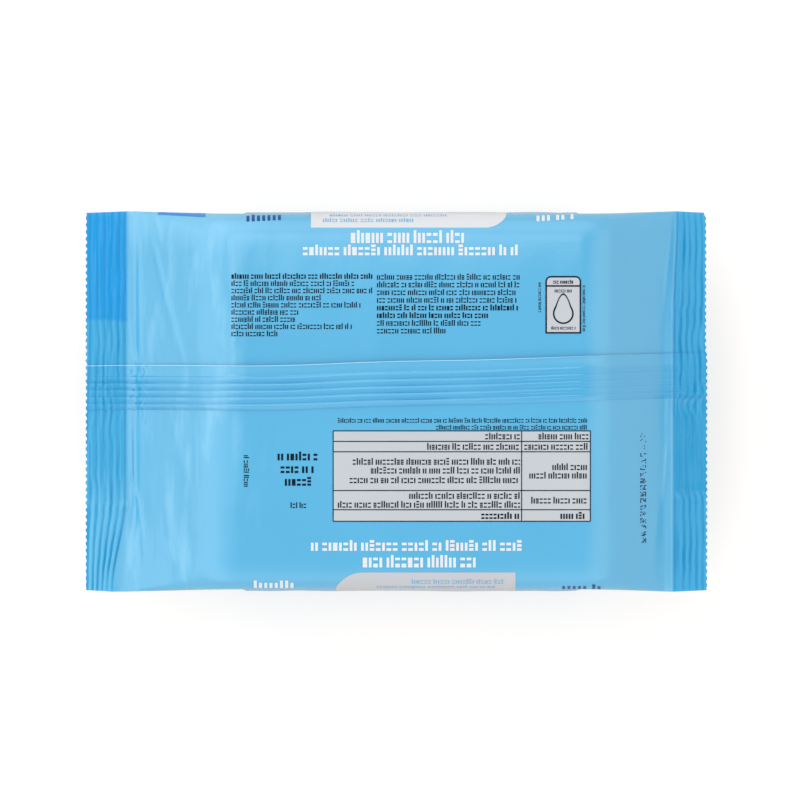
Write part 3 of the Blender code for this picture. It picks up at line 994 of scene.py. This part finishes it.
def film_material(film):
    """Printed film: plain over the wipes and deeper in the seals, with painted sheen in pale patches on the left
    slope and along the far long edge at the left, the same pale colour in a band at the right slope's foot, a
    painted highlight on the left seal's near end and painted shade in the grooves.
    """
    settings = film.film
    slope_sheen_share, foot_band_share, shine_share = 0.60, 0.62, 0.50
    material, nodes, links = new_material("blue_film_finish")
    shader = nodes["Principled BSDF"]
    place = nodes.new("ShaderNodeTexCoord")
    grain = nodes.new("ShaderNodeGroup")
    grain.node_tree = film_grain_group()
    grain.inputs["Crinkle"].default_value = 0.10
    split = nodes.new("ShaderNodeSeparateXYZ")
    links.new(place.outputs["Object"], split.inputs[0])
    x = split.outputs["X"]
    y = split.outputs["Y"]
    waver = math_node(nodes, links, "MULTIPLY_ADD", grain.outputs["Variation"], 5 * MM, -2.5 * MM)
    wavy_y = math_node(nodes, links, "ADD", y, waver)
    off_seal = range_mask(nodes, links, x, film.left_fold - 0.8 * MM, film.left_fold + 1.2 * MM)
    left = inverse(nodes, links, off_seal)
    seal = attribute_value(nodes, "sealed")
    far_slope = inverse(nodes, links, range_mask(nodes, links, x, -52 * MM, -26 * MM))
    slope = product(nodes, links, off_seal, far_slope)
    streaks = math_node(nodes, links, "MULTIPLY_ADD", slope, 0.22, 0.04)
    links.new(streaks, grain.inputs["Streaks"])
    above = range_mask(nodes, links, wavy_y, 20.2 * MM, 21.8 * MM)
    upper = product(nodes, links, left, above)
    # Painted sheen: soft pale patches on the left slope, which faces the left light
    lean = nodes.new("ShaderNodeMapping")
    lean.inputs["Rotation"].default_value = (0.0, 0.0, -0.30)
    lean.inputs["Scale"].default_value = (1.0, 0.28, 1.0)
    links.new(place.outputs["Object"], lean.inputs["Vector"])
    cloud = noise_texture(nodes, 130.0, 3.0)
    links.new(lean.outputs["Vector"], cloud.inputs["Vector"])
    patches = range_mask(nodes, links, cloud.outputs["Fac"], 0.50, 0.68)
    slope_sheen = product(nodes, links, patches, slope, slope_sheen_share)
    # Paler band at the foot of the right slope, towards the near side, in the same pale colour as the painted
    # sheen
    foot = range_mask(nodes, links, x, film.right_fold - 3.0 * MM, film.right_fold - 1.6 * MM)
    low_foot = inverse(nodes, links, range_mask(nodes, links, y, 14 * MM, 40 * MM))
    right_foot_band = product(nodes, links, foot, low_foot, foot_band_share)
    # Painted reflection: pale veil along the far long edge at the left, where the film turns towards the far
    # light
    far_side = range_mask(nodes, links, wavy_y, 37 * MM, 47 * MM)
    shine = product(nodes, links, far_side, far_slope, shine_share)
    # Where the painted sheen colour is laid
    painted_sheen = math_node(nodes, links, "MAXIMUM", slope_sheen, math_node(nodes, links, "MAXIMUM", right_foot_band, shine))
    low_body = scaled(settings.body, 0.96)
    high_body = scaled(settings.body, 1.04)
    varied = mix_colour(nodes, links, grain.outputs["Variation"], low_body, high_body)
    sheened = mix_colour(nodes, links, painted_sheen, varied, tuple(settings.painted_sheen))
    sealed = mix_colour(nodes, links, seal, sheened, tuple(settings.seal))
    # Painted highlight on the near end of the left seal
    lower = inverse(nodes, links, range_mask(nodes, links, y, -32 * MM, -14 * MM))
    low_seal_highlight = product(nodes, links, left, lower, seal)
    lighter = mix_colour(nodes, links, low_seal_highlight, sealed, tuple(settings.low_seal_highlight))
    toned = mix_colour(nodes, links, upper, lighter, tuple(settings.deep))
    # Painted shade in the grooves, darker still in the left seal's upper part
    groove_shade = mix_colour(nodes, links, upper, tuple(settings.groove_shade), scaled(settings.deep, 0.86))
    coloured = mix_colour(nodes, links, attribute_value(nodes, "pressed"), toned, groove_shade)
    links.new(coloured, shader.inputs["Base Color"])
    links.new(grain.outputs["Normal"], shader.inputs["Normal"])
    rough = nodes.new("ShaderNodeMapRange")
    links.new(grain.outputs["Variation"], rough.inputs["Value"])
    rough.inputs["To Min"].default_value = settings.roughness - 0.04
    rough.inputs["To Max"].default_value = settings.roughness + 0.04
    links.new(rough.outputs["Result"], shader.inputs["Roughness"])
    gloss = math_node(nodes, links, "MULTIPLY_ADD", seal, -0.30, 0.50)
    links.new(gloss, shader.inputs["Specular IOR Level"])
    shader.inputs["IOR"].default_value = 1.85
    return material


def ink_material(name, ink, roughness, gloss=0.5):
    """Ink on the film, slightly uneven in tone, with the film's own crinkle."""
    material, nodes, links = new_material(name)
    shader = nodes["Principled BSDF"]
    grain = nodes.new("ShaderNodeGroup")
    grain.node_tree = film_grain_group()
    grain.inputs["Crinkle"].default_value = 0.10
    toned = mix_colour(nodes, links, grain.outputs["Variation"], scaled(ink, 0.96), scaled(ink, 1.04))
    links.new(toned, shader.inputs["Base Color"])
    links.new(grain.outputs["Normal"], shader.inputs["Normal"])
    shader.inputs["Roughness"].default_value = roughness
    shader.inputs["Specular IOR Level"].default_value = gloss
    return material


# Operators


def pack_film(context):
    """Film shape from the scene's settings."""
    return Film(context.scene.wipes_film, context.scene.wipes_seam)


class WIPES_OT_film(bpy.types.Operator):
    """Build the wrapped film and its folded back seam"""

    bl_idname = "wipes.film"
    bl_label = "Film and seam"

    def execute(self, context):
        film = pack_film(context)
        material = film_material(film)
        build_film(film, material)
        build_seam(film, material)
        # Pale cut edge, partly painted highlight
        build_seam_edge(film, ink_material("cut_edge_highlight_finish", (0.42, 0.72, 0.88), 0.30))
        return {"FINISHED"}


class WIPES_OT_flap(bpy.types.Operator):
    """Give the reseal flap its label finish"""

    bl_idname = "wipes.flap"
    bl_label = "Reseal flap"

    def execute(self, context):
        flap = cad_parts["reseal_flap"]
        material = ink_material("flap_finish", (0.74, 0.80, 0.84), 0.24)
        flap.data.materials.clear()
        flap.data.materials.append(material)
        return {"FINISHED"}


class WIPES_OT_print(bpy.types.Operator):
    """Lay the printed fields and plain marks on the film"""

    bl_idname = "wipes.print"
    bl_label = "Print"

    def execute(self, context):
        film = pack_film(context)
        settings = context.scene.wipes_print
        tree = film_tree(bpy.data.objects["film"])
        for name, ink, lift, draw in (
            ("far_panel", settings.white, 1, draw_far_panel),
            # The near panel takes the white ink with painted shade
            ("near_panel", settings.shaded_white, 1, draw_near_panel),
            ("white_lines", settings.letters, 1, draw_white_lines),
            ("small_print", settings.black, 1, draw_small_print),
            ("table_ground", settings.panel, 1, draw_table_ground),
            ("table_lines", settings.black, 2, draw_table_lines),
            ("edge_words", settings.navy, 1, draw_edge_words),
            ("panel_lines", settings.pale, 2, draw_panel_lines),
            ("edge_strip", settings.strip, 1, draw_edge_strip),
        ):
            shape = bmesh.new()
            draw(shape, random.Random(settings.seed))
            wrap_print(film, tree, shape, lift * settings.lift)
            material = ink_material(name + "_ink", tuple(ink), 0.30, 0.15)
            finish_mesh(name, shape, material)
        return {"FINISHED"}


def mm_field(shape, left, right, low, high):
    """Field given in millimetres."""
    return add_field(shape, left * MM, right * MM, low * MM, high * MM)


def mm_arc(shape, x, y, radius, start, rule):
    """Quarter of a ring of ink round a centre, all in millimetres."""
    length_round = radius * math.pi / 2
    for vert in mm_field(shape, 0.0, length_round, -rule, rule):
        angle = start + vert.co.x / (radius * MM)
        reach = radius * MM + vert.co.y
        vert.co.x = x * MM + reach * math.cos(angle)
        vert.co.y = y * MM + reach * math.sin(angle)


def mm_marks(shape, left, right, middle, height, chance, **kind):
    """Row of marks given in millimetres, centred on a line."""
    base = (middle - height * 0.5) * MM
    add_marks(shape, left * MM, right * MM, base, height * MM, chance, **kind)


def upright_marks(shape, left, low, high, height, chance):
    """Row of marks that runs down the pack's back, given in millimetres."""
    known = len(shape.verts)
    half = (high - low) / 2
    mm_marks(shape, -half, half, 0.0, height, chance)
    turn_upright(shape, known, left * MM, (low + high) / 2 * MM)


# Left, right, low and high sides in millimetres of the table and of the small sign's panel
TABLE = (-16.5, 50.5, -31.2, -7.66)
SIGN_PANEL = (39.0, 47.9, 17.9, 32.5)
SIGN_RADIUS = 1.2


def draw_far_panel(shape, chance):
    """White panel that wraps over the far long edge, its inner right corner well rounded."""
    upper = mm_field(shape, -22.3, 28.6, 44.8, 84.0)
    round_corner(upper, 28.6, 44.8, 1, -1, 5.5)
    round_corner(upper, -22.3, 84.0, -1, 1, 5.5)


def draw_near_panel(shape, chance):
    """White panel that wraps over the near long edge, its inner left corner well rounded."""
    lower = mm_field(shape, -15.8, 31.0, -84.0, -44.0)
    round_corner(lower, -15.8, -44.0, -1, 1, 6.8)
    round_corner(lower, 31.0, -84.0, 1, -1, 6.8)


def draw_white_lines(shape, chance):
    """Large white rows above and below the small print, and two edge words' places."""
    for left, right, middle in (
        (-11.9, 18.2, 42.7),
        (-24.4, 32.0, 39.5),
        (-22.3, 33.6, -37.5),
        (-8.8, 20.8, -41.4),
    ):
        mm_marks(shape, left, right, middle, 2.8, chance, heavy=True)
    mm_marks(shape, 36.5, 47.4, 48.9, 3.9, chance, lean=0.10, plain=True)
    mm_marks(shape, -37.2, -26.8, -48.4, 3.9, chance, plain=True)


def draw_small_print(shape, chance):
    """Two columns of small print, the rows by the table, the short notice and the codes."""
    left_ends = (-6.1, -11.1, -6.1, -19.5, -9.3, -25.2, -26.0, -11.6, -30.4)
    for index, right in enumerate(left_ends):
        mm_marks(shape, -43.0, right, 32.7 - 1.87 * index, 1.5, chance, heavy=index == 0)
    right_ends = (32.3, 32.3, 31.5, 31.7, 31.7, 24.4, 22.3, 12.9)
    for index, right in enumerate(right_ends):
        mm_marks(shape, -5.1, right, 32.5 - 2.0 * index, 1.55, chance, heavy=index in (4, 5))
    mm_marks(shape, -15.3, 50.0, -4.9, 1.25, chance)
    mm_marks(shape, 10.3, 50.0, -6.7, 1.25, chance)
    for left, right, middle in ((-31.0, -20.0, -14.2), (-30.2, -20.8, -17.5), (-29.1, -22.1, -20.8)):
        mm_marks(shape, left, right, middle, 2.3, chance, heavy=True)
    mm_marks(shape, -27.6, -23.4, -27.0, 1.5, chance)
    upright_marks(shape, -39.1, -22.6, -14.0, 1.4, chance)
    upright_marks(shape, 37.4, 23.0, 31.0, 0.8, chance)
    upright_marks(shape, 48.9, 18.2, 30.2, 0.8, chance)
    add_dots(shape, (63.6 * MM, -8.0 * MM), 17, 0.32 * MM, chance)


def draw_table_ground(shape, chance):
    """Pale ground of the table and of the small sign's panel."""
    mm_field(shape, *TABLE)
    panel = mm_field(shape, *SIGN_PANEL)
    left, right, _, high = SIGN_PANEL
    round_corner(panel, left, high, -1, 1, SIGN_RADIUS)
    round_corner(panel, right, high, 1, 1, SIGN_RADIUS)


def draw_table_lines(shape, chance):
    """Rules of the table, the rows of print in its cells and the small panel's marks."""
    rule = 0.13
    sign_rule = 0.2
    left, right, low, high = TABLE
    for y in (high, -10.4, -13.1, -23.2, -28.2, low):
        mm_field(shape, left, right, y - rule, y + rule)
    for x in (left, right, 32.6):
        mm_field(shape, x - rule, x + rule, low, high)
    for start, end, middle in (
        (37.0, 50.0, -9.0),
        (33.3, 50.0, -11.7),
        (40.6, 50.0, -17.0),
        (34.6, 50.0, -19.2),
        (35.1, 50.0, -25.7),
        (23.1, 32.2, -9.0),
        (8.0, 32.2, -11.7),
        (-11.4, 32.2, -15.6),
        (-6.7, 32.2, -17.9),
        (-12.2, 32.2, -20.4),
        (3.3, 32.2, -24.5),
        (-15.3, 32.2, -26.8),
    ):
        mm_marks(shape, start, end, middle, 1.75, chance)
    mm_marks(shape, 42.7, 50.0, -29.7, 1.8, chance, heavy=True)
    mm_marks(shape, 22.1, 32.2, -29.7, 1.8, chance, heavy=True)
    for x in (39.0, 47.9):
        mm_field(shape, x - sign_rule, x + sign_rule, 17.7, 31.3)
    for y in (17.9, 30.1):
        mm_field(shape, 38.8, 48.1, y - sign_rule, y + sign_rule)
    mm_field(shape, 40.2, 46.7, 32.3, 32.7)
    mm_arc(shape, 40.2, 31.3, SIGN_RADIUS, math.pi / 2, sign_rule)
    mm_arc(shape, 46.7, 31.3, SIGN_RADIUS, 0.0, sign_rule)
    mm_marks(shape, 40.8, 46.2, 31.2, 1.0, chance, heavy=True)
    mm_marks(shape, 41.2, 45.9, 28.9, 1.0, chance)
    mm_marks(shape, 40.3, 46.8, 19.2, 0.9, chance)
    draw_drop(shape)


def draw_drop(shape):
    """Outline of a water drop, the plain sign on the small panel."""
    middle_x, middle_y, radius, line = 43.45, 22.9, 2.3, 0.42
    turns = 40
    made = bmesh.ops.create_grid(shape, x_segments=turns, y_segments=1, size=0.5)
    for vert in made["verts"]:
        angle = math.radians(90) + 2 * math.pi * (vert.co.x + 0.5)
        tip = max(math.cos(angle - math.radians(90)), 0.0) ** 7
        reach = radius + 2.6 * tip + (line if vert.co.y > 0 else 0.0)
        narrow = 1 - 0.35 * tip
        vert.co.x = (middle_x + reach * narrow * math.cos(angle)) * MM
        vert.co.y = (middle_y + reach * math.sin(angle)) * MM


def draw_edge_words(shape, chance):
    """Dark blue rows over both long edges."""
    mm_marks(shape, -39.1, -27.8, 48.8, 3.9, chance, lean=0.08, plain=True)
    mm_marks(shape, 43.2, 54.0, -50.1, 3.9, chance, plain=True)


def draw_panel_lines(shape, chance):
    """Pale blue rows on the white panels."""
    mm_marks(shape, -17.4, 13.5, 50.2, 1.7, chance)
    mm_marks(shape, -19.2, 4.8, 47.5, 1.7, chance)
    mm_marks(shape, 4.0, 27.8, -46.9, 1.7, chance)
    mm_marks(shape, -5.1, 25.7, -49.6, 1.7, chance)


def draw_edge_strip(shape, chance):
    """Deeper blue field that comes up over the long edge."""
    mm_field(shape, -62.3, -49.8, 48.9, 55.0)


class WIPES_OT_stage(bpy.types.Operator):
    """Make the floor, the pale world, the soft light and the camera"""

    bl_idname = "wipes.stage"
    bl_label = "Stage"

    def execute(self, context):
        settings = context.scene.wipes_stage
        build_floor(settings)
        build_world()
        build_light()
        build_camera(settings)
        context.scene.view_settings.view_transform = "Standard"
        return {"FINISHED"}


def build_floor(settings):
    """Pale floor that shows white to the camera and keeps the pack's shadow."""
    shape = bmesh.new()
    bmesh.ops.create_grid(shape, x_segments=1, y_segments=1, size=2.0)
    bmesh.ops.translate(shape, verts=shape.verts, vec=(0.0, 0.0, -0.1 * MM))
    mesh = bpy.data.meshes.new("floor")
    shape.to_mesh(mesh)
    shape.free()
    floor = bpy.data.objects.new("floor", mesh)
    bpy.context.scene.collection.objects.link(floor)
    material, nodes, links = new_material("pale_floor")
    shader = nodes["Principled BSDF"]
    shader.inputs["Base Color"].default_value = (*settings.floor, 1.0)
    shader.inputs["Roughness"].default_value = 0.9
    shader.inputs["Emission Color"].default_value = (1.0, 1.0, 1.0, 1.0)
    glow, mirrored_share = 0.475, 0.2
    path = nodes.new("ShaderNodeLightPath")
    glossy = product(nodes, links, path.outputs["Is Glossy Ray"], mirrored_share)
    seen = math_node(nodes, links, "MAXIMUM", path.outputs["Is Camera Ray"], glossy)
    links.new(product(nodes, links, seen, glow), shader.inputs["Emission Strength"])
    mesh.materials.append(material)


# Strength of the world away from its bright sides
WORLD_BASE = 0.155
# Bright sides of the world: direction, cosines where each starts and is full, and its strength
WORLD_SIDES = (
    ((0.00, 0.00, 1.00), 0.95, 0.45, 0.34),
    ((-0.93, -0.25, 0.12), 0.00, 1.00, 0.98),
    ((-0.10, 0.92, 0.38), 0.50, 1.00, 0.90),
    ((0.92, -0.30, 0.34), 0.10, 1.00, 0.76),
    ((0.05, -0.92, 0.38), 0.20, 1.00, 0.28),
    ((-0.30, 0.50, 0.80), 0.75, 1.00, 0.45),
)


def build_world():
    """Pale world: dim overhead, bright low down, most at the left, and white to the camera."""
    world = bpy.data.worlds.new("studio")
    bpy.context.scene.world = world
    world.use_nodes = True
    nodes = world.node_tree.nodes
    links = world.node_tree.links
    background = nodes["Background"]
    background.inputs["Color"].default_value = (1.0, 1.0, 1.0, 1.0)
    strength = WORLD_BASE
    for towards, start, end, gain in WORLD_SIDES:
        nearness = direction_mask(nodes, links, towards, start, end)
        strength = math_node(nodes, links, "MULTIPLY_ADD", nearness, gain, strength)
    path = nodes.new("ShaderNodeLightPath")
    camera = path.outputs["Is Camera Ray"]
    lit = product(nodes, links, strength, inverse(nodes, links, camera))
    shown = math_node(nodes, links, "ADD", lit, camera)
    links.new(shown, background.inputs["Strength"])


def direction_mask(nodes, links, towards, start, end):
    """Mask over the world that eases from start to end, both cosines of the angle to a direction."""
    place = nodes.new("ShaderNodeTexCoord")
    dot = nodes.new("ShaderNodeVectorMath")
    dot.operation = "DOT_PRODUCT"
    links.new(place.outputs["Generated"], dot.inputs[0])
    dot.inputs[1].default_value = Vector(towards).normalized()
    return range_mask(nodes, links, dot.outputs["Value"], start, end)


def build_light():
    """One soft rectangular light over the far side; the rest of the light comes from the world."""
    place = Vector((-0.26, 0.34, 1.30))
    aim = Vector((0.0, 0.0, 0.03))
    light = bpy.data.lights.new("far_softbox", "AREA")
    light.shape = "RECTANGLE"
    light.size = 0.80
    light.size_y = 0.50
    light.energy = 1.4
    lamp = bpy.data.objects.new("far_softbox", light)
    bpy.context.scene.collection.objects.link(lamp)
    lamp.location = place
    lamp.rotation_euler = (aim - place).to_track_quat("-Z", "Y").to_euler()


def build_camera(settings):
    """Camera straight above with a long lens."""
    data = bpy.data.cameras.new("camera")
    data.sensor_width = 36.0
    data.lens = data.sensor_width * settings.distance / settings.field
    data.clip_end = 2 * settings.distance
    camera = bpy.data.objects.new("camera", data)
    bpy.context.scene.collection.objects.link(camera)
    centre_x = (PICTURE / 2 - ORIGIN_PIXEL[0]) * settings.field / PICTURE
    centre_y = (ORIGIN_PIXEL[1] - PICTURE / 2) * settings.field / PICTURE
    camera.location = (centre_x, centre_y, POUCH_HIGH.z + settings.distance)
    bpy.context.scene.camera = camera


class WIPES_PT_panel(bpy.types.Panel):
    """Steps that build the pack, in order"""

    bl_idname = "WIPES_PT_panel"
    bl_label = "Wipes pack"
    bl_space_type = "VIEW_3D"
    bl_region_type = "UI"
    bl_category = "Wipes pack"

    def draw(self, context):
        for operator in OPERATORS:
            self.layout.operator(operator.bl_idname)


SETTINGS = {
    "wipes_film": FilmSettings,
    "wipes_seam": SeamSettings,
    "wipes_print": PrintSettings,
    "wipes_stage": StageSettings,
}
OPERATORS = (WIPES_OT_film, WIPES_OT_flap, WIPES_OT_print, WIPES_OT_stage)
CLASSES = (*SETTINGS.values(), *OPERATORS, WIPES_PT_panel)


def register():
    """Register the classes and hang the settings on the scene."""
    for item in CLASSES:
        bpy.utils.register_class(item)
    for name, group in SETTINGS.items():
        setattr(bpy.types.Scene, name, bpy.props.PointerProperty(type=group))


def unregister():
    """Undo register."""
    for name in SETTINGS:
        delattr(bpy.types.Scene, name)
    for item in reversed(CLASSES):
        bpy.utils.unregister_class(item)


def main():
    """Build every piece."""
    register()
    bpy.ops.wipes.film()
    bpy.ops.wipes.flap()
    bpy.ops.wipes.print()
    bpy.ops.wipes.stage()


if __name__ == "__main__":
    main()
